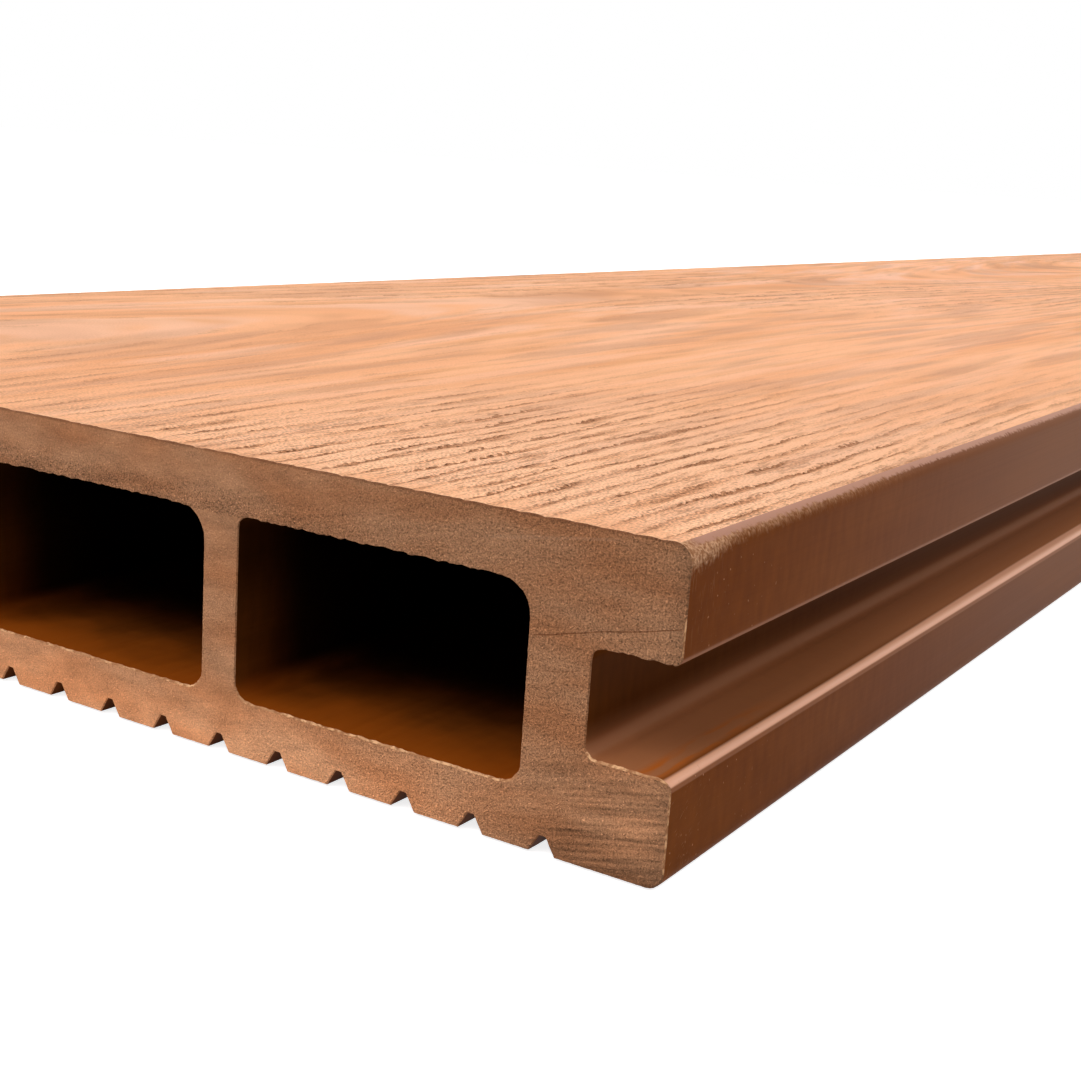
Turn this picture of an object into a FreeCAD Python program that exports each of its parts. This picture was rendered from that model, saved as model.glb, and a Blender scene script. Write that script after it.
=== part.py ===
"""Hollow wood-plastic composite decking board, extruded in one piece and sawn square at both ends.

The board lies flat: X runs along its length, Y across its width and Z up. The origin is the middle of the
underside, and all sizes are in millimetres. The section is drawn on the plane across the middle of the board
and runs its whole length: a blank with a clip groove in each long side, a row of hollow chambers between the
webs, a row of narrow relief grooves along the underside, and rounded corners.
"""

import FreeCAD, Part
import os
import Sketcher

# Driving dimensions, one spreadsheet cell each.
DIMENSIONS = {
    "board_length": 2200,
    "board_width": 146,
    "board_thickness": 25,
    # Walls round the hollow chambers
    "top_skin": 5,
    "bottom_skin": 4.7,
    "side_wall": 5.3,
    "web_thickness": 3.7,
    "chamber_count": 4,
    "chamber_outer_ceiling_radius": 2.6,
    "chamber_inner_ceiling_radius": 0.9,
    "chamber_floor_radius": 1.6,
    # Clip groove in each long side, between an upper and a lower lip
    "lower_lip": 8.2,
    "clip_groove_height": 8.2,
    "clip_groove_depth": 7,
    "clip_groove_root_radius": 1,
    "lip_radius": 0.8,
    # Outer corners
    "top_edge_radius": 1.4,
    "bottom_edge_radius": 1.4,
    # Relief grooves along the underside
    "relief_count": 21,
    "relief_margin": 10,
    "relief_mouth": 2.2,
    "relief_root": 0.5,
    "relief_depth": 1.4,
}

# Sizes that follow from the driving dimensions, as expressions on the spreadsheet.
HALF_WIDTH = "Dimensions.board_width / 2"
CHAMBER_ROW_HALF = f"({HALF_WIDTH} - Dimensions.clip_groove_depth - Dimensions.side_wall)"
CHAMBER_PITCH = f"((2 * {CHAMBER_ROW_HALF} + Dimensions.web_thickness) / Dimensions.chamber_count)"
CHAMBER_WIDTH = f"({CHAMBER_PITCH} - Dimensions.web_thickness)"
CHAMBER_HEIGHT = "(Dimensions.board_thickness - Dimensions.top_skin - Dimensions.bottom_skin)"
RELIEF_ROW = "(Dimensions.board_width - 2 * Dimensions.relief_margin)"
RELIEF_FLANK = "(Dimensions.relief_mouth - Dimensions.relief_root) / 2"

SKETCH_ORIGIN = (-1, 1)
HORIZONTAL_AXIS = -1
START, END = 1, 2
PLACE_TOLERANCE = 1e-4


def make_sheet(doc):
    """The spreadsheet of driving dimensions, each cell named by its alias."""
    sheet = doc.addObject("Spreadsheet::Sheet", "Dimensions")
    for row, (name, value) in enumerate(DIMENSIONS.items(), start=1):
        sheet.set(f"A{row}", name)
        sheet.set(f"B{row}", str(value))
        sheet.setAlias(f"B{row}", name)
    doc.recompute()
    return sheet


def origin_feature(body, role):
    """One of the body's own origin planes or axes."""
    return next(f for f in body.Origin.OriginFeatures if f.Role == role)


def cross_section_sketch(body, name):
    """An empty sketch across the board: its horizontal is Y and its vertical is Z."""
    sketch = body.newObject("Sketcher::SketchObject", name)
    sketch.AttachmentSupport = [(origin_feature(body, "YZ_Plane"), "")]
    sketch.MapMode = "FlatFace"
    return sketch


def draw_outline(sketch, corners):
    """A closed outline of straight lines through the corners. Returns the line numbers, in order."""
    points = [FreeCAD.Vector(y, z, 0) for y, z in corners]
    lines = [
        sketch.addGeometry(Part.LineSegment(start, end), False)
        for start, end in zip(points, points[1:] + points[:1])
    ]
    for line, following in zip(lines, lines[1:] + lines[:1]):
        sketch.addConstraint(Sketcher.Constraint("Coincident", line, END, following, START))
    return lines


def draw_rectangle(sketch, size):
    """A level rectangle of about that size. Returns its bottom, right, top and left lines."""
    width, height = size
    bottom, right, top, left = draw_outline(sketch, [(0, 0), (width, 0), (width, height), (0, height)])
    for line in (bottom, top):
        sketch.addConstraint(Sketcher.Constraint("Horizontal", line))
    for line in (right, left):
        sketch.addConstraint(Sketcher.Constraint("Vertical", line))
    return bottom, right, top, left


def dimension(sketch, kind, first, second, expression):
    """A DistanceX or DistanceY between two sketch points, bound to the spreadsheet."""
    sketch.addConstraint(Sketcher.Constraint(kind, *first, *second, 1.0))
    sketch.setExpression(f"Constraints[{sketch.ConstraintCount - 1}]", expression)


def extrude_blank(body, values):
    """The solid blank of the board, half its length each way from the section plane."""
    sketch = cross_section_sketch(body, "BlankSection")
    bottom, right, _, _ = draw_rectangle(sketch, (values["board_width"], values["board_thickness"]))
    sketch.addConstraint(Sketcher.Constraint("PointOnObject", bottom, START, HORIZONTAL_AXIS))
    dimension(sketch, "DistanceX", (bottom, START), SKETCH_ORIGIN, HALF_WIDTH)
    dimension(sketch, "DistanceX", (bottom, START), (bottom, END), "Dimensions.board_width")
    dimension(sketch, "DistanceY", (right, START), (right, END), "Dimensions.board_thickness")
    blank = body.newObject("PartDesign::Pad", "Blank")
    blank.Profile = sketch
    blank.SideType = "Symmetric"
    blank.setExpression("Length", "Dimensions.board_length")
    return blank


def cut_along_board(body, name, sketch):
    """A pocket of the sketched section along the whole board."""
    pocket = body.newObject("PartDesign::Pocket", name)
    pocket.Profile = sketch
    pocket.SideType = "Symmetric"
    pocket.Type = "ThroughAll"
    return pocket


def repeat_across_board(body, name, original, count, extent):
    """Copies of a pocket, evenly spaced along +Y over the given extent."""
    pattern = body.newObject("PartDesign::LinearPattern", name)
    pattern.Originals = [original]
    pattern.Direction = (origin_feature(body, "Y_Axis"), [""])
    pattern.Mode = "Extent"
    pattern.setExpression("Length", extent)
    pattern.setExpression("Occurrences", count)
    body.Tip = pattern
    return pattern


def cut_clip_grooves(body, values):
    """The groove that a hidden fixing clip enters, in the +Y side, and its mirror image in the other side."""
    sketch = cross_section_sketch(body, "ClipGrooveSection")
    size = (values["clip_groove_depth"], values["clip_groove_height"])
    bottom, right, _, _ = draw_rectangle(sketch, size)
    dimension(sketch, "DistanceX", SKETCH_ORIGIN, (bottom, END), HALF_WIDTH)
    dimension(sketch, "DistanceX", (bottom, START), (bottom, END), "Dimensions.clip_groove_depth")
    dimension(sketch, "DistanceY", SKETCH_ORIGIN, (bottom, END), "Dimensions.lower_lip")
    dimension(sketch, "DistanceY", (right, START), (right, END), "Dimensions.clip_groove_height")
    groove = cut_along_board(body, "ClipGroove", sketch)
    both = body.newObject("PartDesign::Mirrored", "ClipGrooves")
    both.Originals = [groove]
    both.MirrorPlane = (origin_feature(body, "XZ_Plane"), [""])
    body.Tip = both
    return both


def cut_chambers(body, values):
    """The hollow chambers, from the one beside the -Y wall across to the one beside the +Y wall."""
    sketch = cross_section_sketch(body, "ChamberSection")
    height = values["board_thickness"] - values["top_skin"] - values["bottom_skin"]
    bottom, right, _, _ = draw_rectangle(sketch, (height, height))
    dimension(sketch, "DistanceX", (bottom, START), SKETCH_ORIGIN, CHAMBER_ROW_HALF)
    dimension(sketch, "DistanceX", (bottom, START), (bottom, END), CHAMBER_WIDTH)
    dimension(sketch, "DistanceY", SKETCH_ORIGIN, (bottom, START), "Dimensions.bottom_skin")
    dimension(sketch, "DistanceY", (right, START), (right, END), CHAMBER_HEIGHT)
    chamber = cut_along_board(body, "Chamber", sketch)
    extent = f"{CHAMBER_PITCH} * (Dimensions.chamber_count - 1)"
    return repeat_across_board(body, "Chambers", chamber, "Dimensions.chamber_count", extent)


def cut_relief_grooves(body, values):
    """The narrow tapered grooves along the underside, evenly spaced between the two margins."""
    sketch = cross_section_sketch(body, "ReliefSection")
    half_mouth = values["relief_mouth"] / 2
    half_root = values["relief_root"] / 2
    depth = values["relief_depth"]
    corners = [(-half_mouth, 0), (half_mouth, 0), (half_root, depth), (-half_root, depth)]
    mouth, right_flank, root, _ = draw_outline(sketch, corners)
    sketch.addConstraint(Sketcher.Constraint("PointOnObject", mouth, START, HORIZONTAL_AXIS))
    sketch.addConstraint(Sketcher.Constraint("Horizontal", mouth))
    sketch.addConstraint(Sketcher.Constraint("Horizontal", root))
    dimension(sketch, "DistanceX", (mouth, START), (mouth, END), "Dimensions.relief_mouth")
    dimension(sketch, "DistanceX", (root, END), (root, START), "Dimensions.relief_root")
    dimension(sketch, "DistanceX", (mouth, START), (root, END), RELIEF_FLANK)
    dimension(sketch, "DistanceY", (right_flank, START), (right_flank, END), "Dimensions.relief_depth")
    first = f"{RELIEF_ROW} / 2 + Dimensions.relief_mouth / 2"
    dimension(sketch, "DistanceX", (mouth, START), SKETCH_ORIGIN, first)
    groove = cut_along_board(body, "ReliefGroove", sketch)
    return repeat_across_board(body, "ReliefGrooves", groove, "Dimensions.relief_count", RELIEF_ROW)


def edges_along_board(shape, places):
    """Names of the straight edges that run the board's length at those (Y, Z) places of its section."""
    names = []
    for number, edge in enumerate(shape.Edges, start=1):
        start, end = (vertex.Point for vertex in (edge.Vertexes[0], edge.Vertexes[-1]))
        if abs(start.y - end.y) > PLACE_TOLERANCE or abs(start.z - end.z) > PLACE_TOLERANCE:
            continue
        if any(abs(start.y - y) < PLACE_TOLERANCE and abs(start.z - z) < PLACE_TOLERANCE for y, z in places):
            names.append(f"Edge{number}")
    return names


def round_corners(doc, body, name, places, radius):
    """A fillet on the edges that run along the board at those places of its section."""
    base = body.Tip
    names = edges_along_board(base.Shape, places)
    if len(names) != len(places):
        raise RuntimeError(f"{name}: found {len(names)} of {len(places)} edges")
    fillet = body.newObject("PartDesign::Fillet", name)
    fillet.Base = (base, names)
    fillet.setExpression("Radius", f"Dimensions.{radius}")
    doc.recompute()
    return fillet


def round_section(doc, body, values):
    """The rounded corners of the section: chambers, clip grooves, lips and outer edges."""
    half = values["board_width"] / 2
    wall = half - values["clip_groove_depth"]
    row_half = wall - values["side_wall"]
    pitch = (2 * row_half + values["web_thickness"]) / values["chamber_count"]
    # A chamber's outer side is nearer to the board's edge, and its inner side is nearer to the middle.
    outer_sides, inner_sides = [], []
    for index in range(int(values["chamber_count"])):
        start = -row_half + index * pitch
        inner, outer = sorted((start, start + pitch - values["web_thickness"]), key=abs)
        inner_sides.append(inner)
        outer_sides.append(outer)
    ceiling = values["board_thickness"] - values["top_skin"]
    floor = values["bottom_skin"]
    groove_levels = (values["lower_lip"], values["lower_lip"] + values["clip_groove_height"])
    corners = {
        "OuterCeilings": ([(y, ceiling) for y in outer_sides], "chamber_outer_ceiling_radius"),
        "InnerCeilings": ([(y, ceiling) for y in inner_sides], "chamber_inner_ceiling_radius"),
        "ChamberFloors": ([(y, floor) for y in outer_sides + inner_sides], "chamber_floor_radius"),
        "GrooveRoots": ([(y, z) for y in (-wall, wall) for z in groove_levels], "clip_groove_root_radius"),
        "Lips": ([(y, z) for y in (-half, half) for z in groove_levels], "lip_radius"),
        "TopEdges": ([(y, values["board_thickness"]) for y in (-half, half)], "top_edge_radius"),
        "BottomEdges": ([(y, 0) for y in (-half, half)], "bottom_edge_radius"),
    }
    for name, (places, radius) in corners.items():
        round_corners(doc, body, name, places, radius)


def make_decking_board(doc, sheet):
    """The whole board as one body."""
    values = {name: float(sheet.get(name)) for name in DIMENSIONS}
    body = doc.addObject("PartDesign::Body", "DeckingBoard")
    body.Label = "decking_board"
    body.Placement = FreeCAD.Placement()
    for make in (extrude_blank, cut_clip_grooves, cut_chambers, cut_relief_grooves):
        before = body.Shape.Volume if body.Tip else 0
        make(body, values)
        doc.recompute()
        if abs(body.Shape.Volume - before) < 1:
            raise RuntimeError(f"{make.__name__} changed nothing")
    round_section(doc, body, values)
    return body


def check(doc, bodies):
    """Stops before anything is written if a feature failed or a solid is not sound."""
    for item in doc.Objects:
        if "Invalid" in item.State or "Error" in item.State:
            raise RuntimeError(f"{item.Name} failed: {item.State}")
    for body in bodies:
        if body.Shape.isNull() or not body.Shape.isValid() or len(body.Shape.Solids) != 1:
            raise RuntimeError(f"{body.Label} is not one sound solid")


def main():
    doc = FreeCAD.newDocument("decking_board")
    sheet = make_sheet(doc)
    bodies = [make_decking_board(doc, sheet)]
    check(doc, bodies)
    os.makedirs("parts", exist_ok=True)
    for body in bodies:
        body.Shape.exportStep(f"parts/{body.Label}.step")
        print(f"{body.Label}: {body.Shape.Volume / 1000:.1f} cm3, {len(body.Shape.Faces)} faces")


main()
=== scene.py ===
"""A hollow composite decking board: embossed wood-grain top, smooth extruded sides, sawn ends.

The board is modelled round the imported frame, in metres. X runs along its length, Y across its width, Z up.
"""

import math

import bmesh
import bpy
from mathutils import Matrix, Vector


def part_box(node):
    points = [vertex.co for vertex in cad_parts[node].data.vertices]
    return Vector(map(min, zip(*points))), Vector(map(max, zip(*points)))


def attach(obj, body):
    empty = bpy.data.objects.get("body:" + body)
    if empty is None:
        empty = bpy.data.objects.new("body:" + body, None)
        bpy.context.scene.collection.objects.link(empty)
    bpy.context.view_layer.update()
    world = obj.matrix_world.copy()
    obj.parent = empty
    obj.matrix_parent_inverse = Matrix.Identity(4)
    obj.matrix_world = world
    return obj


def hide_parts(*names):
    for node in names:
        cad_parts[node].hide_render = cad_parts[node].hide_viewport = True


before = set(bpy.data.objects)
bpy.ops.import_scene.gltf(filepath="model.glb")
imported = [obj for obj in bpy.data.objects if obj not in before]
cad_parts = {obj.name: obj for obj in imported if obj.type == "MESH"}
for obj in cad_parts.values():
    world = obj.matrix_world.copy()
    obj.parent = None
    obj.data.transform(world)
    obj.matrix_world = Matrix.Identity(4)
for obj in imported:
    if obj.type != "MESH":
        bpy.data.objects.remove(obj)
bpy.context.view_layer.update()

MM = 0.001
NODE = "decking_board"

# Sizes of the section, in millimetres
LENGTH, WIDTH, THICKNESS = ((high - low) / MM for low, high in zip(*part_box(NODE)))
HALF_LENGTH = LENGTH / 2
HALF_WIDTH = WIDTH / 2
TOP_SKIN = 5
BOTTOM_SKIN = 4.7
SIDE_WALL = 5.3
WEB = 3.7
CHAMBERS = 4
OUTER_CEILING_RADIUS = 2.6
INNER_CEILING_RADIUS = 0.9
FLOOR_RADIUS = 1.6
LOWER_LIP = 8.2
GROOVE_HEIGHT = 8.2
GROOVE_DEPTH = 7
GROOVE_ROOT_RADIUS = 1
LIP_RADIUS = 0.8
TOP_EDGE_RADIUS = 1.4
BOTTOM_EDGE_RADIUS = 1.4
RELIEFS = 21
RELIEF_MARGIN = 10
RELIEF_MOUTH = 2.2
RELIEF_ROOT = 0.5
RELIEF_DEPTH = 1.4

GROOVE_TOP = LOWER_LIP + GROOVE_HEIGHT
GROOVE_WALL = HALF_WIDTH - GROOVE_DEPTH
CEILING = THICKNESS - TOP_SKIN
CHAMBER_ROW = GROOVE_WALL - SIDE_WALL
CHAMBER_PITCH = (2 * CHAMBER_ROW + WEB) / CHAMBERS
CHAMBER_WIDTH = CHAMBER_PITCH - WEB
RELIEF_PITCH = (WIDTH - 2 * RELIEF_MARGIN) / (RELIEFS - 1)

# Fineness of the mesh, in millimetres and counts
ROUND_SEGMENTS = 6
OUTLINE_STEP = 0.35
RIM = 0.1  # the broken edge round a sawn end
RIM_RING = 1  # a ring of edges on the walls, that far behind the end
FINE_ZONE = 60
END_ZONE = 300
GRAIN_ROWS = (20, 21)  # two divisions of the top's width, one after the other
GRAIN_ZONES = (  # where each zone of the top ends, from the near end, and the cuts across it
    (FINE_ZONE, 54),
    (END_ZONE, 49),
    (LENGTH - END_ZONE, 39),
    (LENGTH - RIM_RING, 34),
)
PLACE_TOLERANCE = 0.01

# Angles in degrees, and how much of a face's normal points along an axis
FLAT_ANGLE = 0.1
SMOOTH_ANGLE = 35
FACING_END = 0.9
FACING_UP = 0.98
LEANING = 0.3

# Wear of the sawn edges and the embossed grain, in millimetres
RIM_ROUGHNESS = 0.1
RIM_CHIP = 0.24
GRAIN_DEPTH = 0.28
GRAIN_MARGIN = 1.2


def near(first, second):
    """True if two lengths in millimetres are the same place."""
    return abs(first - second) < PLACE_TOLERANCE


def millimetres(vector):
    """A vector's three parts in millimetres."""
    return tuple(part / MM for part in vector)


def pick(board, kind, test):
    """In edit mode, selects only the vertices, edges or faces that pass the test. Returns how many."""
    bpy.ops.mesh.select_mode(type=kind)
    bpy.ops.mesh.select_all(action="DESELECT")
    mesh = bmesh.from_edit_mesh(board.data)
    elements = {"VERT": mesh.verts, "EDGE": mesh.edges, "FACE": mesh.faces}[kind]
    found = [element for element in elements if test(element)]
    for element in found:
        element.select_set(True)
    mesh.select_flush_mode()
    bmesh.update_edit_mesh(board.data)
    return len(found)


def cut(axis, place):
    """Cuts all that is selected along the plane across an axis, at a place in millimetres."""
    normal = Vector((axis == "X", axis == "Y", axis == "Z"))
    bpy.ops.mesh.bisect(plane_co=normal * place * MM, plane_no=normal)


def cut_everything(axis, places):
    """Cuts the whole mesh at each place."""
    for place in places:
        bpy.ops.mesh.select_all(action="SELECT")
        cut(axis, place)


def centre_of(face):
    """The middle of a face, in millimetres."""
    return millimetres(face.calc_center_median())


def relief_centres():
    """Where the relief grooves lie across the underside."""
    return [(index - (RELIEFS - 1) / 2) * RELIEF_PITCH for index in range(RELIEFS)]


# The section, drawn across the near end
def start_section():
    """A plane across the near end, as wide and thick as the board, open in edit mode."""
    bpy.ops.object.select_all(action="DESELECT")
    place = (-HALF_LENGTH * MM, 0, THICKNESS / 2 * MM)
    bpy.ops.mesh.primitive_plane_add(size=1, location=place, rotation=(0, math.radians(90), 0))
    board = bpy.context.object
    board.name = "grained_board"
    board.dimensions = (THICKNESS * MM, WIDTH * MM, 0)
    bpy.ops.object.transform_apply(location=True, rotation=True, scale=True)
    bpy.ops.object.mode_set(mode="EDIT")
    return board


def cut_clip_grooves(board):
    """Takes the two clip grooves out of the section."""
    cut_everything("Z", (LOWER_LIP, GROOVE_TOP))
    cut_everything("Y", (-GROOVE_WALL, GROOVE_WALL))

    def in_groove(face):
        _, y, z = centre_of(face)
        return abs(y) > GROOVE_WALL and LOWER_LIP < z < GROOVE_TOP

    pick(board, "FACE", in_groove)
    bpy.ops.mesh.delete(type="FACE")


def cut_relief_grooves(board):
    """Takes the relief grooves out of the underside and narrows their roots."""
    cut_everything("Z", (RELIEF_DEPTH,))
    edges = [centre + side * RELIEF_MOUTH / 2 for centre in relief_centres() for side in (-1, 1)]
    cut_everything("Y", edges)

    def in_relief(face):
        _, y, z = centre_of(face)
        return z < RELIEF_DEPTH and any(abs(y - centre) < RELIEF_MOUTH / 2 for centre in relief_centres())

    pick(board, "FACE", in_relief)
    bpy.ops.mesh.delete(type="FACE")
    bpy.ops.mesh.select_all(action="SELECT")
    bpy.ops.mesh.dissolve_limited(angle_limit=math.radians(FLAT_ANGLE))
    inwards = (RELIEF_MOUTH - RELIEF_ROOT) / 2
    for side in (-1, 1):
        corners = [centre + side * RELIEF_MOUTH / 2 for centre in relief_centres()]

        def root_corner(vertex):
            _, y, z = millimetres(vertex.co)
            return near(z, RELIEF_DEPTH) and any(near(y, corner) for corner in corners)

        pick(board, "VERT", root_corner)
        bpy.ops.transform.translate(value=(0, -side * inwards * MM, 0))


def round_off(board, places, radius):
    """Rounds the section's corners at those (Y, Z) places."""

    def corner(vertex):
        _, y, z = millimetres(vertex.co)
        return any(near(y, place[0]) and near(z, place[1]) for place in places)

    found = pick(board, "VERT", corner)
    if found != len(places):
        raise RuntimeError(f"found {found} of {len(places)} corners")
    bpy.ops.mesh.bevel(offset=radius * MM, segments=ROUND_SEGMENTS, affect="VERTICES")


def round_outline(board):
    """Rounds the outer edges, the lips and the roots of the clip grooves."""
    both = (-1, 1)
    levels = (LOWER_LIP, GROOVE_TOP)
    round_off(board, [(side * HALF_WIDTH, THICKNESS) for side in both], TOP_EDGE_RADIUS)
    round_off(board, [(side * HALF_WIDTH, 0) for side in both], BOTTOM_EDGE_RADIUS)
    round_off(board, [(side * HALF_WIDTH, level) for side in both for level in levels], LIP_RADIUS)
    round_off(board, [(side * GROOVE_WALL, level) for side in both for level in levels], GROOVE_ROOT_RADIUS)


def add_chambers(board):
    """Adds the outlines of the hollow chambers as faces of their own."""
    for index in range(CHAMBERS):
        start = -CHAMBER_ROW + index * CHAMBER_PITCH
        inner, outer = sorted((start, start + CHAMBER_WIDTH), key=abs)
        middle = Vector((-HALF_LENGTH, (inner + outer) / 2, (BOTTOM_SKIN + CEILING) / 2)) * MM
        bpy.ops.mesh.primitive_plane_add(size=MM, location=middle, rotation=(0, math.radians(90), 0))
        size = (1, CHAMBER_WIDTH, CEILING - BOTTOM_SKIN)
        bpy.ops.transform.resize(value=size, center_override=middle)
        round_off(board, [(outer, CEILING)], OUTER_CEILING_RADIUS)
        round_off(board, [(inner, CEILING)], INNER_CEILING_RADIUS)
        round_off(board, [(inner, BOTTOM_SKIN), (outer, BOTTOM_SKIN)], FLOOR_RADIUS)


def divide_outline(board):
    """Leaves only the outlines and divides them: finely on top, for the grain, and elsewhere for the rims."""
    bpy.ops.mesh.select_mode(type="EDGE")
    bpy.ops.mesh.select_all(action="SELECT")
    bpy.ops.mesh.delete(type="ONLY_FACE")

    def top_edge(edge):
        return all(near(vertex.co.z / MM, THICKNESS) for vertex in edge.verts)

    for rows in GRAIN_ROWS:
        pick(board, "EDGE", top_edge)
        bpy.ops.mesh.subdivide(number_cuts=rows - 1)
    mesh = bmesh.from_edit_mesh(board.data)
    lengths = {round(edge.calc_length() / MM, 2) for edge in mesh.edges}
    for length in sorted(lengths):
        pieces = math.ceil(length / OUTLINE_STEP)
        if pieces > 1:
            pick(board, "EDGE", lambda edge: near(edge.calc_length() / MM, length) and not top_edge(edge))
            bpy.ops.mesh.subdivide(number_cuts=pieces - 1)


# The board, drawn out from its section
def extrude_section():
    """Fills the section between its outlines and draws it out to the far end."""
    bpy.ops.mesh.select_all(action="SELECT")
    bpy.ops.mesh.fill(use_beauty=True)
    bpy.ops.mesh.select_all(action="SELECT")
    bpy.ops.mesh.extrude_region_move(TRANSFORM_OT_translate={"value": (LENGTH * MM, 0, 0)})
    bpy.ops.mesh.select_all(action="SELECT")
    bpy.ops.mesh.normals_make_consistent(inside=False)


def faces_end(face):
    """True if a face lies square across the board."""
    return abs(face.normal.x) > FACING_END


def break_end_edges(board):
    """Breaks the sharp edges that the saw leaves round both ends, and rings the walls just behind them."""

    def rim(edge):
        ends = [faces_end(face) for face in edge.link_faces]
        return len(ends) == 2 and ends[0] != ends[1]

    pick(board, "EDGE", rim)
    bpy.ops.mesh.bevel(offset=RIM * MM, segments=1, affect="EDGES", clamp_overlap=False)
    cut_everything("X", (RIM_RING - HALF_LENGTH, HALF_LENGTH - RIM_RING))


def divide_top(board):
    """Cuts the top and its rounded edges across, finely near the near end, for the grain."""
    upper = THICKNESS - TOP_EDGE_RADIUS - PLACE_TOLERANCE

    def on_top(face):
        return all(vertex.co.z / MM > upper for vertex in face.verts) and not faces_end(face)

    starts = [RIM_RING] + [end for end, _ in GRAIN_ZONES]
    for start in starts[1:-1]:
        pick(board, "FACE", on_top)
        cut("X", start - HALF_LENGTH)
    for low, (high, cuts) in zip(starts, GRAIN_ZONES):

        def long_edge(edge):
            places = [millimetres(vertex.co) for vertex in edge.verts]
            first, last = sorted(x + HALF_LENGTH for x, _, _ in places)
            return near(first, low) and near(last, high) and all(z > upper for _, _, z in places)

        pick(board, "EDGE", long_edge)
        bpy.ops.mesh.subdivide(number_cuts=cuts)


# Node trees
class Value:
    """One number, colour or vector of a node tree. Python's operators on a number add Math nodes."""

    def __init__(self, nodes, socket):
        self.nodes = nodes
        self.socket = socket

    def maths(self, operation, first, second=0.0):
        """What a Math node makes of two numbers."""
        return self.nodes.add("ShaderNodeMath", {"operation": operation}, {0: first, 1: second})

    def __add__(self, other):
        return self.maths("ADD", self, other)

    def __radd__(self, other):
        return self.maths("ADD", other, self)

    def __sub__(self, other):
        return self.maths("SUBTRACT", self, other)

    def __rsub__(self, other):
        return self.maths("SUBTRACT", other, self)

    def __mul__(self, other):
        return self.maths("MULTIPLY", self, other)

    def __rmul__(self, other):
        return self.maths("MULTIPLY", other, self)

    def __truediv__(self, other):
        return self.maths("DIVIDE", self, other)

    def __abs__(self):
        return self.maths("ABSOLUTE", self)

    def __lt__(self, other):
        return self.maths("LESS_THAN", self, other)

    def __gt__(self, other):
        return self.maths("GREATER_THAN", self, other)

    def root(self):
        return self.maths("SQRT", self)

    def sine(self):
        return self.maths("SINE", self)

    def sign(self):
        return self.maths("SIGN", self)

    def fraction(self):
        return self.maths("FRACT", self)

    def rise(self, low, high):
        """0 below low, 1 above high and a smooth step between."""
        settings = {"interpolation_type": "SMOOTHSTEP"}
        inputs = {"Value": self, "From Min": low, "From Max": high}
        return self.nodes.add("ShaderNodeMapRange", settings, inputs)

    def fall(self, low, high):
        """1 below low, 0 above high and a smooth step between."""
        return 1 - self.rise(low, high)

    def raised(self, low):
        """What runs from 0 to 1 made to run from low to 1."""
        return low + (1 - low) * self


class Nodes:
    """Adds nodes to one node tree."""

    def __init__(self, tree):
        self.tree = tree

    def add(self, kind, settings=None, inputs=None, output=0):
        """A node of that type: its settings first, then the values or links of its sockets."""
        node = self.tree.nodes.new(kind)
        for name, setting in (settings or {}).items():
            setattr(node, name, setting)
        for key, value in (inputs or {}).items():
            self.feed(node.inputs[key], value)
        return Value(self, node.outputs[output]) if len(node.outputs) else node

    def feed(self, socket, value):
        """Links a value to a socket, or writes a plain number or colour into it."""
        if isinstance(value, Value):
            self.tree.links.new(value.socket, socket)
        else:
            socket.default_value = value

    def parts(self, vector):
        """A vector's three parts in millimetres."""
        scaled = self.add("ShaderNodeVectorMath", {"operation": "SCALE"}, {0: vector, "Scale": 1 / MM})
        return [self.add("ShaderNodeSeparateXYZ", None, {0: scaled}, index) for index in range(3)]

    def noise(self, x, y, z=0.0, detail=1.0):
        """Smooth noise from 0 to 1, about one wave to a unit. A part shifted or fixed gives another noise."""
        place = self.add("ShaderNodeCombineXYZ", None, {0: x, 1: y, 2: z})
        return self.add("ShaderNodeTexNoise", None, {"Vector": place, "Scale": 1.0, "Detail": detail})

    def waver(self, x, y, z=0.0, detail=1.0):
        """The same noise about 0."""
        return self.noise(x, y, z, detail) - 0.5

    def blend(self, factor, first, second):
        """The first colour where the factor is 0, the second where it is 1."""
        return self.add("ShaderNodeMix", {"data_type": "RGBA"}, {0: factor, 6: first, 7: second}, 2)

    def shade(self, colour, factor):
        """A colour made lighter or darker."""
        return self.add("ShaderNodeVectorMath", {"operation": "SCALE"}, {0: colour, "Scale": factor})


def paint(red, green, blue):
    """A colour from its levels on a screen, 0 to 255, by the sRGB curve."""
    levels = (level / 255 for level in (red, green, blue))
    linear = [level / 12.92 if level <= 0.04045 else ((level + 0.055) / 1.055) ** 2.4 for level in levels]
    return (*linear, 1.0)


class Place:
    """A place on the board in millimetres: its three parts, and how far it lies from the end and the side."""

    def __init__(self, nodes, vector):
        self.x, self.y, self.z = nodes.parts(vector)
        self.from_end = HALF_LENGTH - abs(self.x)
        self.from_side = HALF_WIDTH - abs(self.y)


# The embossed grain, in millimetres
ARCH_LINE = 34  # how far left of the board's middle the arches lie
ARCH_DEPTH = 20  # how far below the top the heart of the tree lies
ARCH_SWING = 14
ARCH_REACH = 60
ARCH_PERIOD = 840
RING_SWAY = 16
RING_WANDER = 3
RING_WOBBLE = 0.4
LINE_SPACING = 2.3
ROLLER_GIRTH = 420
ROLLER_SLANT = 200
ROLLER_START = (15, 11)  # a spot that it presses hard, from the near end and from the right side
QUARTER_TURN = 0.25


def turns(value):
    """The sine of a number of whole turns."""
    return (2 * math.pi * value).sine()


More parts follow.
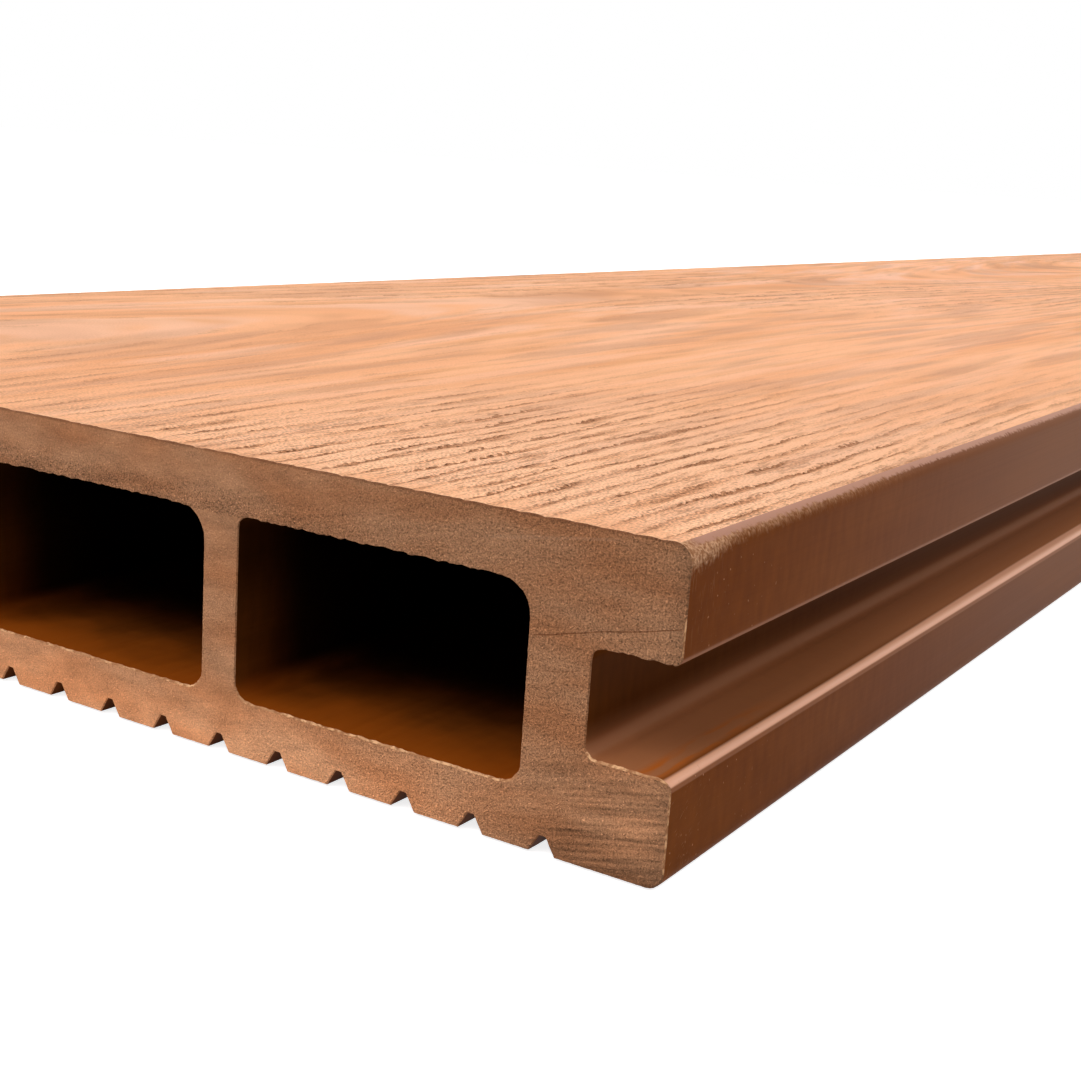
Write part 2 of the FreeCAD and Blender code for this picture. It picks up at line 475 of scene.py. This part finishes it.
def ring_place(nodes, x, y):
    """How far a place on the top lies from the heart of the tree, and how steeply that changes sideways.

    The rings form arches along one line of the board and run straight elsewhere.
    """
    sway = nodes.waver(x / 240, 7.3) * RING_SWAY
    across = y - ARCH_LINE + sway
    arch = ARCH_SWING * turns((x + HALF_LENGTH) / ARCH_PERIOD) * abs(across).fall(ARCH_REACH / 5, ARCH_REACH)
    wander = nodes.waver(x / 90, y / 24) * RING_WANDER
    wobble = nodes.waver(x / 16, y / 5) * RING_WOBBLE
    ring = (across * across + ARCH_DEPTH ** 2).root() + arch + wander + wobble
    return ring, abs(across).rise(1, ARCH_DEPTH / 2)


class Grain:
    """The grain that a roller embosses on the top: ragged lines about 2 mm apart and short ones between them.

    Each line is sharp on one side and fades into a broader strip on the other. The roller presses unevenly,
    hardest along slanting zones, and leaves little but soft strips between them. It presses less along the
    middle of the arches, at the very ends and far from them.
    """

    def __init__(self, nodes, place):
        x, y, from_end = place.x, place.y, place.from_end
        ring, steep = ring_place(nodes, x, y)
        self.ring = ring

        along = (x + HALF_LENGTH - ROLLER_START[0]) / ROLLER_GIRTH
        slanted = (y + HALF_WIDTH - ROLLER_START[1]) / ROLLER_SLANT
        roller = 0.5 + 0.5 * turns(along + slanted + QUARTER_TURN)
        patchy = nodes.noise(x / 60, y / 30, 5.7).rise(0.35, 0.62).raised(0.75)
        crisp = from_end.rise(0.3, 5).raised(0.5) * from_end.fall(25, 100).raised(0.55)
        self.pressed = roller.rise(0.2, 0.95).raised(0.27) * patchy * crisp * steep.raised(0.15)

        drift = nodes.waver(ring / 8, x / 120, y / 40)
        middle = nodes.waver(ring / 1.4, x / 12, y / 20)
        fine = nodes.waver(ring / 0.5, x / 0.8, 6.2, detail=2)
        in_band = (ring / LINE_SPACING + 1.2 * drift + 0.8 * middle + 0.35 * fine).fraction()
        breaks = nodes.noise(ring / 1.3, x / 11, y / 20 + 3).rise(0.4, 0.62)
        short = nodes.waver(ring / 0.4, x / 4, 9.4)
        ragged = short + 0.7 * nodes.waver(ring / 0.16, x / 0.9, 2.7, detail=2)
        self.soft = nodes.noise(ring / 2.6, x / 45, y / 25 + 5).rise(0.46, 0.7)
        self.strip = in_band.fall(0.14, 0.55) * breaks.raised(0.4) * self.pressed
        self.line = in_band.fall(0.05, 0.22) * breaks.raised(0.1) * self.pressed
        self.dash = ragged.rise(0.06, 0.2) * self.pressed

    def depth(self):
        """How deep the embossing is, from 0 to about 1."""
        return 0.2 * self.soft + 0.4 * self.strip + 0.3 * self.line + 0.25 * self.dash


def geometry_tree(name):
    """An empty geometry node tree: its nodes, the geometry that goes in and the place of each point."""
    tree = bpy.data.node_groups.new(name, "GeometryNodeTree")
    tree.interface.new_socket("Geometry", in_out="INPUT", socket_type="NodeSocketGeometry")
    tree.interface.new_socket("Geometry", in_out="OUTPUT", socket_type="NodeSocketGeometry")
    nodes = Nodes(tree)
    geometry = nodes.add("NodeGroupInput")
    return nodes, geometry, Place(nodes, nodes.add("GeometryNodeInputPosition"))


def move_points(board, nodes, geometry, selection, offset):
    """Ends a geometry node tree with the selected points moved by an offset, and applies it to the board."""
    move = nodes.add("ShaderNodeCombineXYZ", None, offset)
    inputs = {"Geometry": geometry, "Selection": selection, "Offset": move}
    moved = nodes.add("GeometryNodeSetPosition", None, inputs)
    nodes.add("NodeGroupOutput", None, {0: moved})
    modifier = board.modifiers.new(nodes.tree.name, "NODES")
    modifier.node_group = nodes.tree
    bpy.ops.object.modifier_apply(modifier=modifier.name)


def emboss_grain(board):
    """Presses the grain into the top."""
    nodes, geometry, place = geometry_tree("embossed_grain")
    inside = place.from_side.rise(TOP_EDGE_RADIUS, TOP_EDGE_RADIUS + GRAIN_MARGIN)
    depth = Grain(nodes, place).depth() * inside * GRAIN_DEPTH * MM
    move_points(board, nodes, geometry, place.z > THICKNESS - 2 * RIM, {2: 0 - depth})


def chip_rims(board):
    """Chips the sawn edges at both ends and raises a burr on some.

    The ceilings of the chambers and clip grooves chip most, and the burr stands on their floors.
    """
    nodes, geometry, place = geometry_tree("chipped_rims")
    x, y, z = place.x, place.y, place.z
    rough = nodes.noise(y / 0.45, z / 0.45, x / 50, detail=2).rise(0.35, 0.75) * RIM_ROUGHNESS
    chip = nodes.noise(y / 0.7, z / 0.7, x / 50 + 9).rise(0.45, 0.7) * RIM_CHIP
    inner = z.rise(RELIEF_DEPTH + 0.2, BOTTOM_SKIN - 1.7) * z.fall(THICKNESS - 2, THICKNESS - 1)
    inner = inner * place.from_side.rise(0.5, 1.2)
    normal = nodes.add("GeometryNodeInputNormal")
    side, up = (nodes.add("ShaderNodeSeparateXYZ", None, {0: normal}, index) for index in (1, 2))
    ceiling = up.fall(-0.5, -0.2) * inner
    burr = up.rise(0.2, 0.5) * inner * (0.05 + 1.5 * rough)
    chipped = rough * ceiling.raised(0.3) + chip * ceiling
    amount = (burr - chipped) * MM
    offset = {0: x.sign() * chipped * -0.5 * MM, 1: side * amount, 2: up * amount}
    move_points(board, nodes, geometry, place.from_end < 2 * RIM, offset)


# Finishes
def finish_of(name):
    """A material with its nodes, its principled shader and the place on the board."""
    material = bpy.data.materials.new(name)
    material.use_nodes = True
    nodes = Nodes(material.node_tree)
    shader = material.node_tree.nodes["Principled BSDF"]
    return material, nodes, shader, Place(nodes, nodes.add("ShaderNodeTexCoord", None, None, "Object"))


def set_inputs(nodes, shader, inputs):
    """Sets or links the shader's sockets."""
    for name, value in inputs.items():
        nodes.feed(shader.inputs[name], value)


def bump(nodes, height):
    """A normal from a height in millimetres."""
    return nodes.add("ShaderNodeBump", None, {"Height": height, "Strength": 1.0, "Distance": MM})


# Colours of the walking face
PEACH_DEEP = paint(241, 170, 123)
PEACH_LIGHT = paint(252, 187, 142)
ORANGE_STREAK = paint(226, 156, 106)
PALE_BLOTCH = paint(250, 200, 170)
DEEP_BLOTCH = paint(210, 148, 108)
SOFT_STRIP = paint(200, 146, 116)
RAISED_RIDGE = paint(255, 201, 163)
# The recess colours below: partly the grain's colour, partly painted shade in the recesses.
PRESSED_STRIP = paint(198, 142, 106)
SHORT_DASH = paint(172, 120, 86)
SHARP_LINE = paint(150, 100, 68)


def walking_face_finish():
    """Brushed and embossed composite: peach ridges, brown recesses partly painted as shade, orange streaks
    and soft blotches.
    """
    material, nodes, shader, place = finish_of("walking_face")
    x, y, z = place.x, place.y, place.z
    grain = Grain(nodes, place)
    ring = grain.ring
    band = nodes.noise(ring / 7, x / 150, y / 40, detail=2).rise(0.3, 0.7)
    streak = nodes.noise(ring / 3.5, x / 45, y / 30 + 8, detail=2).rise(0.54, 0.72)
    blotch = nodes.noise(ring / 4, x / 50, y / 25 + 13, detail=2)
    blotchy = y.rise(-30, 40).raised(0.35)
    crumb = nodes.waver(x / 0.3, y / 0.22, z / 0.5, detail=2)
    crumbly = grain.pressed * place.from_end.fall(4, 40)
    contrast = 0.25 + 0.3 * grain.pressed + 1.1 * grain.strip + 1.5 * crumbly

    colour = nodes.blend(band, PEACH_DEEP, PEACH_LIGHT)
    colour = nodes.blend(streak * 0.6, colour, ORANGE_STREAK)
    colour = nodes.blend(blotch.rise(0.5, 0.66) * blotchy * 0.6, colour, PALE_BLOTCH)
    colour = nodes.blend(blotch.fall(0.34, 0.48) * blotchy * 0.5, colour, DEEP_BLOTCH)
    colour = nodes.blend(grain.soft * 0.5, colour, SOFT_STRIP)
    colour = nodes.blend(grain.pressed * 0.6 * (1 - grain.strip), colour, RAISED_RIDGE)
    # The strips, dashes and lines darken the embossed recesses: partly the grain's colour, partly painted
    # shade.
    colour = nodes.blend(grain.strip * 0.75, colour, PRESSED_STRIP)
    colour = nodes.blend(grain.dash * 0.5, colour, SHORT_DASH)
    colour = nodes.blend(grain.line * (0.7 - crumb), colour, SHARP_LINE)
    relief = crumb * (0.1 + 0.2 * grain.strip) - grain.line * 0.1 - grain.dash * 0.06
    set_inputs(nodes, shader, {
        "Base Color": nodes.shade(colour, 0.955 + crumb * contrast),
        "Roughness": 0.7 + 0.2 * grain.strip,
        "Specular IOR Level": 0.012,
        "Normal": bump(nodes, relief),
    })
    return material


# Colours of the extruded skin
SKIN_DARK = paint(106, 52, 11)
SKIN_LIGHT = paint(118, 63, 21)
# Painted sheen that pales the sides away from the ends.
FAR_PAINTED_SHEEN = paint(176, 140, 120)
# Painted highlight on the lips.
LIP_PAINTED_HIGHLIGHT = paint(238, 174, 139)
# Painted sheen on the rounded top edges.
SHOULDER_PAINTED_SHEEN = paint(205, 152, 128)
# Painted light: the orange glow on the chamber floors near the end.
CHAMBER_PAINTED_GLOW = paint(168, 82, 20)
# Painted light on the groove floors and a painted highlight along their roots.
GROOVE_FLOOR_PAINTED_LIGHT = paint(172, 110, 72)
GROOVE_ROOT_PAINTED_HIGHLIGHT = paint(186, 132, 98)
ORANGE_STRIP = paint(180, 90, 20)
FIBRE_DARK = paint(162, 112, 78)
FIBRE_LIGHT = paint(220, 170, 132)
PALE_MARK = paint(200, 140, 98)


def shade_chambers(nodes, colour, place):
    """The chambers: an uneven orange glow of painted light on the floor near the end, and painted shade
    darker up the walls and farther in.
    """
    z, from_end = place.z, place.from_end
    outermost = HALF_WIDTH - CHAMBER_ROW
    inside = place.from_side.rise(outermost - 0.2, outermost)
    inside = inside * (z > BOTTOM_SKIN - 0.1) * (z < CEILING + 0.1)
    floor = inside * z.fall(BOTTOM_SKIN + 0.3, BOTTOM_SKIN + 2)
    inwards = from_end + nodes.waver(place.x / 5, place.y / 6, z, detail=2) * floor * 10
    # Painted light: an orange glow on the chamber floors near the end.
    colour = nodes.blend(floor * (0.4 + 0.5 * inwards.fall(2, 9)), colour, CHAMBER_PAINTED_GLOW)
    # Painted shade: the chambers darken farther in, the walls sooner.
    colour = nodes.shade(colour, 1 - inside * 0.92 * inwards.rise(1, 20))
    colour = nodes.shade(colour, 1 - (inside - floor) * 0.85 * from_end.rise(2, 9))
    # Painted shade, darker up the chamber walls.
    knee = BOTTOM_SKIN + 5
    painted_wall_shade = 0.45 * z.rise(BOTTOM_SKIN + 0.5, knee) + 0.35 * z.rise(knee, CEILING - 3)
    return nodes.shade(colour, 1 - inside * painted_wall_shade)


def paint_groove_light_and_shade(nodes, colour, place):
    """The clip grooves: painted light on the floor, a painted highlight at the root, an orange strip behind
    the lip, painted shade above the floor.
    """
    from_end, from_side = place.from_end, place.from_side
    height = place.z - LOWER_LIP
    inside = from_side.rise(0.6, 1.6) * from_side.fall(GROOVE_DEPTH + 0.2, GROOVE_DEPTH + 0.4)
    inside = inside * height.rise(-0.5, 0) * height.fall(GROOVE_HEIGHT, GROOVE_HEIGHT + 0.5)
    # Painted light: the groove floor is painted lighter, and beside the lip more so away from the ends.
    painted_floor_light = height.fall(0.6, 3) * (0.35 + 0.45 * from_end.fall(4, 45))
    by_lip = height.fall(0.2, 0.6) * from_side.fall(2, 6) * from_end.rise(10, 60)
    colour = nodes.blend(inside * (painted_floor_light + by_lip * 0.5), colour, GROOVE_FLOOR_PAINTED_LIGHT)
    # Painted highlight along the root of the groove.
    root = from_side.rise(GROOVE_DEPTH - 1.4, GROOVE_DEPTH - 0.5)
    root = root * height.rise(0, 0.3) * height.fall(0.7, 1.3)
    colour = nodes.blend(inside * root * 0.35, colour, GROOVE_ROOT_PAINTED_HIGHLIGHT)
    strip = from_side.fall(2.2, 3.2) * height.fall(0.1, 0.4) * from_end.fall(8, 24)
    strip = strip * nodes.noise(place.x / 8, place.y / 1.5, place.z / 9, detail=2).rise(0.38, 0.55)
    colour = nodes.blend(inside * strip * 0.85, colour, ORANGE_STRIP)
    # Painted shade on the groove wall above the floor.
    deep = height.rise(0.4, 1.8) * (0.34 + 0.06 * from_end.fall(2, 28))
    return nodes.shade(colour, 1 - inside * deep)


def painted_lip_highlights(place):
    """1 on a painted highlight along the upper corner of the lower lip, with fainter ones below it and under
    the upper lip.

    The painted band is broader away from the ends.
    """
    height = place.z - LOWER_LIP
    upper_lip = place.z - GROOVE_TOP
    corner = height.rise(-0.5, -0.35) * height.fall(0, 0.3)
    below = height.rise(-0.85, -0.7) * height.fall(-0.5, -0.35)
    under = upper_lip.rise(0.1, 0.3) * upper_lip.fall(0.4, 0.75)
    behind = place.from_side - 0.7 * place.from_end.rise(20, 100)
    return (corner + below * 0.15 + under * 0.22) * behind.fall(0.5, 0.85)


def torn_fibres(nodes, place, shoulder_highlight):
    """What the saw tore near the ends, from 0 to 1: a fringe under the top corners, its hairs and marks.

    The marks are loose hairs and specks on the sides and scratches on the lower lip.
    """
    x, y, z, from_end = place.x, place.y, place.z, place.from_end
    hair = nodes.noise(x / 0.22, y / 0.25, z / 0.25, detail=2)
    length = 0.4 + 1.2 * nodes.noise(x / 0.4, y / 0.8, z / 0.6, detail=3)
    hang = (0.85 + 1.15 * from_end.fall(-1, 9)) * length
    fringe = (z - THICKNESS + hang).rise(-0.3, 0.9) * from_end.fall(6, 55) * (1 - shoulder_highlight)
    loose = nodes.noise(x / 0.14, y / 1.2, z / 1.6, detail=2).rise(0.58, 0.72)
    loose = loose * (z.rise(14, THICKNESS) + 1.5 * z.fall(0.6, 2))
    specks = nodes.noise(x / 0.4, y, z / 0.5).rise(0.7, 0.78) * from_end.fall(6, 24)
    scratches = nodes.noise((x + z) / 1.5, y, (z - 0.8 * x) / 0.14).rise(0.68, 0.76)
    scratches = scratches * z.fall(LOWER_LIP - 1.7, LOWER_LIP - 0.7)
    marks = (loose * 0.22 + scratches * 0.5) * from_end.fall(1, 9) + specks * 0.6
    return fringe, hair, marks * (place.from_side < 0.5)


def extruded_skin_finish():
    """Smooth satin skin from the die: fine lines along the board, fibres torn by the saw, painted highlights,
    sheen, light and shade.
    """
    material, nodes, shader, place = finish_of("extruded_skin")
    x, y, z, from_end = place.x, place.y, place.z, place.from_end
    mottle = nodes.noise(x / 45, y / 9, z / 9, detail=2)
    die_line = nodes.noise(x / 160, y / 0.22, z / 0.22)
    scuff = nodes.waver(x / 0.9, y / 1.2, z / 3, detail=3) * from_end.fall(10, 90)
    # Where the lips get a painted highlight, and their coat.
    lip = painted_lip_highlights(place)
    ragged = nodes.waver(x / 0.7, y / 0.6, z / 0.6, detail=2) * 0.6
    # The band along the top edges that gets a painted sheen and a thin coat.
    shoulder_highlight = (z + ragged).rise(THICKNESS - 0.5, THICKNESS - 0.25) * from_end.rise(0.3, 2.5)
    fringe, hair, marks = torn_fibres(nodes, place, shoulder_highlight)
    fibre = nodes.blend(hair.rise(0.35, 0.65), FIBRE_DARK, FIBRE_LIGHT)

    colour = nodes.blend(mottle.rise(0.3, 0.7), SKIN_DARK, SKIN_LIGHT)
    # Painted sheen: the sides grow paler away from the ends.
    colour = nodes.blend(from_end.rise(0, 100) * 0.2, colour, FAR_PAINTED_SHEEN)
    colour = nodes.shade(colour, 0.92 + 0.16 * die_line + 0.5 * scuff)
    # Painted light and shade in the chambers and clip grooves.
    colour = shade_chambers(nodes, colour, place)
    colour = paint_groove_light_and_shade(nodes, colour, place)
    # Painted highlight on the lips.
    colour = nodes.blend(lip * 0.9, colour, LIP_PAINTED_HIGHLIGHT)
    # Painted sheen along the top edges.
    colour = nodes.blend(shoulder_highlight * 0.6, colour, SHOULDER_PAINTED_SHEEN)
    colour = nodes.blend(fringe * 0.85, colour, fibre)
    set_inputs(nodes, shader, {
        "Base Color": nodes.blend(marks, colour, PALE_MARK),
        "Roughness": 0.36 + 0.1 * mottle + 0.3 * fringe,
        "Coat Weight": lip * 0.45 + shoulder_highlight * 0.2,
        "Coat Roughness": 0.4,
        "Specular IOR Level": 0.006,
        "Normal": bump(nodes, die_line * 0.006 + fringe * hair * 0.2 + marks * 0.05),
    })
    return material


# Colours of the sawn ends and their burr
SAWN_DARK = paint(193, 129, 87)
SAWN_LIGHT = paint(205, 148, 108)
SCRATCH_DARK = paint(94, 44, 14)
SCRATCH_PALE = paint(175, 135, 107)
# A thin darker line along the top edge of the ends.
DARK_TOP_EDGE = paint(84, 44, 25)
BURR_DARK = paint(160, 108, 72)
BURR_LIGHT = paint(228, 176, 130)

# Scratches on the near end: start, end and half width, in millimetres across and up
LONG_SCRATCH = ((-60.5, 16.1), (-73.6, 19.3), 0.04)
SHORT_SCRATCH = ((-61.5, 13.7), (-66, 14.6), 0.04)
BROAD_SCRATCH = ((-56, 22.6), (-68, 24.4), 0.12)
SCRATCH_FADE = 1.5
SCRATCH_BOW = 0.3


def scratch(nodes, place, ends_and_width):
    """1 along a scratch that the saw left on the near end."""
    start, end, half_width = ends_and_width
    way = Vector(end) - Vector(start)
    direction = way.normalized()
    right = place.y - start[0]
    up = place.z - start[1]
    along = right * direction[0] + up * direction[1]
    across = right * direction[1] - up * direction[0]
    bow = nodes.waver(along / 4, start[1]) * SCRATCH_BOW
    line = abs(across + bow).fall(half_width * 0.5, half_width * 1.5)
    line = line * along.rise(0, SCRATCH_FADE) * along.fall(way.length - SCRATCH_FADE, way.length)
    return line * (place.x < 0)


def sawn_grit(nodes, place):
    """How light or dark each crumb of the sawn end is, about 0, and how high it stands in millimetres.

    The lower lips have longer streaks. The middle is calmer and cloudy, and rougher just over the chambers.
    """
    x, y, z = place.x, place.y, place.z
    low_lip = place.from_side.fall(6, 14) * z.fall(5, 9)
    middle = place.from_side.rise(14, 45)
    over_chambers = z.rise(CEILING - 0.2, CEILING) * z.fall(CEILING + 0.5, CEILING + 3) * middle
    calm = 1 - 0.5 * middle + 0.8 * over_chambers
    streak = nodes.waver((z - abs(y) * 0.22) / 0.35, y / 6, x / 30, detail=2)
    grit = nodes.waver(y / 0.16, z / 0.14, x / 5, detail=2)
    sand = nodes.waver(y / 0.42, z / 0.34, x / 5 + 7, detail=2)
    pale = nodes.noise(y / 0.25, z / 0.22, x / 5 + 4).rise(0.6, 0.74)
    dark = nodes.noise(y / 0.22, z / 0.2, x / 5 + 2).rise(0.66, 0.76)
    cloud = nodes.waver(y / 3, z / 1.5, x / 30 + 3, detail=2) * middle * 0.7 - 0.06 * over_chambers
    tone = (0.5 + 1.5 * low_lip) * streak + (1.9 - 0.9 * low_lip) * grit
    tone = tone + 0.7 * sand + 0.7 * pale - 0.2 * dark
    height = grit * 0.25 + sand * 0.15 + pale * 0.05 - dark * 0.06
    return tone * calm + cloud, height * calm


def sawn_end_finish():
    """Sawn composite: sandy speckle, faint saw streaks, a few scratches, darker outer edges and painted light
    low down.
    """
    material, nodes, shader, place = finish_of("sawn_end")
    x, y, z, from_side = place.x, place.y, place.z, place.from_side
    patch = nodes.noise(y / 10, z / 3.5, x / 30, detail=2).rise(0.3, 0.7)
    under_chambers = from_side.rise(7, 23)
    # Painted light: the end is painted lighter towards the bottom, most under the chambers, and a little
    # towards the middle; it is darker at the foot of the lower lips and along the outer sides.
    level = 0.57 + 0.14 * z.fall(0, 22)
    level = level + 0.44 * z.fall(0, 7) * under_chambers - 0.22 * z.fall(0, 4) * (1 - under_chambers)
    level = level * (1 + 0.06 * from_side.rise(13, 58)) * (1 - 0.2 * from_side.fall(0.2, 1.6))
    tone, height = sawn_grit(nodes, place)
    dark = scratch(nodes, place, LONG_SCRATCH) * 0.65 + scratch(nodes, place, SHORT_SCRATCH) * 0.35
    pale = scratch(nodes, place, BROAD_SCRATCH) * 0.2
    # A thin darker line along the end's top edge.
    top_edge_dark = z.rise(THICKNESS - 0.3, THICKNESS - 0.1) * 0.5

    colour = nodes.blend(patch, SAWN_DARK, SAWN_LIGHT)
    colour = nodes.shade(colour, level * (0.95 + tone))
    colour = nodes.blend(dark, colour, SCRATCH_DARK)
    colour = nodes.blend(pale, colour, SCRATCH_PALE)
    set_inputs(nodes, shader, {
        "Base Color": nodes.blend(top_edge_dark, colour, DARK_TOP_EDGE),
        "Roughness": 0.85,
        "Specular IOR Level": 0.1,
        "Normal": bump(nodes, height - dark * 0.1),
    })
    return material


def sawn_burr_finish():
    """The pale burr that the saw leaves along the floors of the chambers and grooves and up the sides."""
    material, nodes, shader, place = finish_of("sawn_burr")
    x, y, z = place.x, place.y, place.z
    crumb = nodes.noise(y / 0.4, z / 0.4, x / 0.2, detail=2)
    torn = nodes.noise(y / 2, z / 2, x / 50).rise(0.4, 0.6).raised(0.3)
    set_inputs(nodes, shader, {
        "Base Color": nodes.blend(crumb.rise(0.35, 0.65) * torn, BURR_DARK, BURR_LIGHT),
        "Roughness": 0.8,
        "Specular IOR Level": 0.1,
        "Normal": bump(nodes, crumb * 0.1),
    })
    return material


def give_finishes(board):
    """Gives each face its finish: sawn at the ends, burr on some edges there, grained on top, else skin."""
    for finish in (extruded_skin_finish(), walking_face_finish(), sawn_end_finish(), sawn_burr_finish()):
        board.data.materials.append(finish)
    skin, walking, sawn, burr = range(4)
    for face in board.data.polygons:
        height = face.center.z / MM
        if faces_end(face):
            face.material_index = sawn
        elif abs(face.normal.x) > LEANING:
            burred = face.normal.z > LEANING or near(abs(face.center.y / MM), HALF_WIDTH - RIM / 2)
            face.material_index = burr if burred and height < CEILING else sawn
        elif face.normal.z > FACING_UP and height > THICKNESS - 2 * RIM:
            face.material_index = walking
        else:
            face.material_index = skin


def make_board():
    """The whole board: one extruded piece."""
    board = start_section()
    cut_clip_grooves(board)
    cut_relief_grooves(board)
    round_outline(board)
    add_chambers(board)
    divide_outline(board)
    extrude_section()
    break_end_edges(board)
    divide_top(board)
    bpy.ops.object.mode_set(mode="OBJECT")
    give_finishes(board)
    emboss_grain(board)
    chip_rims(board)
    bpy.ops.object.shade_smooth_by_angle(angle=math.radians(SMOOTH_ANGLE))
    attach(board, "root")
    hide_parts(NODE)


# Studio
WORLD_LEVEL = 0.16
FLOOR_SIZE = 60  # metres
FLOOR_DROP = 0.2 * MM
FLOOR_GREY = (0.75, 0.75, 0.75, 1)
FLOOR_GLOW = 0.8  # close to the board, so that its shadow shows
SHADOW_NEAR = 50  # millimetres from the board, where the glow starts to grow
SHADOW_FAR = 600  # where the floor is white


def white_for_the_eye(nodes):
    """1 for rays that see the background itself, in the camera, in gloss or through glass."""
    names = ("Is Camera Ray", "Is Glossy Ray", "Is Transmission Ray")
    camera, glossy, through = (nodes.add("ShaderNodeLightPath", None, None, name) for name in names)
    return (camera + glossy + through).rise(0, 1)


def add_floor():
    """A white floor that keeps a faint shadow of the board."""
    bpy.ops.mesh.primitive_plane_add(size=FLOOR_SIZE, location=(0, 0, -FLOOR_DROP))
    floor = bpy.context.object
    floor.name = "floor"
    material, nodes, shader, place = finish_of("white_floor")
    beyond = [distance.fall(-SHADOW_FAR, -SHADOW_NEAR) for distance in (place.from_side, place.from_end)]
    glow = (beyond[0] + beyond[1]).rise(0, 1).raised(FLOOR_GLOW)
    set_inputs(nodes, shader, {
        "Base Color": FLOOR_GREY,
        "Roughness": 1,
        "Specular IOR Level": 0,
        "Emission Color": white_for_the_eye(nodes) * glow,
        "Emission Strength": 1,
    })
    floor.data.materials.append(material)


def set_world():
    """White to the eye, a soft even light on the board."""
    world = bpy.data.worlds.new("studio")
    bpy.context.scene.world = world
    world.use_nodes = True
    nodes = Nodes(world.node_tree)
    level = white_for_the_eye(nodes).raised(WORLD_LEVEL)
    set_inputs(nodes, world.node_tree.nodes["Background"], {"Color": level, "Strength": 1})


def add_softbox(name, place, target, size, power):
    """A rectangular soft light that faces a point, in metres and watts."""
    bpy.ops.object.light_add(type="AREA", location=place)
    lamp = bpy.context.object
    lamp.name = name
    lamp.data.shape = "RECTANGLE"
    lamp.data.size, lamp.data.size_y = size
    lamp.data.energy = power
    lamp.rotation_euler = (Vector(target) - Vector(place)).to_track_quat("-Z", "Y").to_euler()


def add_lights():
    """A broad light over the board, a strip by its right side, one in front and a low one by each end."""
    end = HALF_LENGTH * MM
    add_softbox("overhead", place=(0.3, 0.3, 2.2), target=(0.2, 0, 0), size=(4.5, 2.2), power=38)
    add_softbox("right_strip", place=(1.8, -1.5, 1.7), target=(1.8, 0, 0), size=(6.5, 0.7), power=52)
    add_softbox("front_soft", place=(-2.1, 0.1, 1.3), target=(-end, 0, 0), size=(1.2, 0.8), power=10)
    for name, side in (("near_end_soft", -1), ("far_end_soft", 1)):
        place = (side * (end + 0.8), 0.9, 0.14)
        add_softbox(name, place, target=(side * end, 0, 0.01), size=(0.5, 0.2), power=9)


# Camera, in metres, degrees and millimetres
CAMERA_PLACE = (-1.19398, -0.1181, 0.04885)
CAMERA_YAW = 31.20
CAMERA_PITCH = -13.155
CAMERA_ROLL = 3.945
CAMERA_LENS = 53.667
CAMERA_NEAREST = 0.01


def add_camera():
    """Close to the near right corner, looking along the board and down on its top."""
    bpy.ops.object.camera_add()
    camera = bpy.context.object
    camera.data.lens = CAMERA_LENS
    camera.data.clip_start = CAMERA_NEAREST
    turn = Matrix.Rotation(math.radians(CAMERA_YAW - 90), 4, "Z")
    tilt = Matrix.Rotation(math.radians(90 + CAMERA_PITCH), 4, "X")
    roll = Matrix.Rotation(math.radians(CAMERA_ROLL), 4, "Z")
    camera.matrix_world = Matrix.Translation(CAMERA_PLACE) @ turn @ tilt @ roll
    bpy.context.scene.camera = camera


make_board()
add_floor()
set_world()
add_lights()
add_camera()
bpy.context.scene.view_settings.view_transform = "Standard"
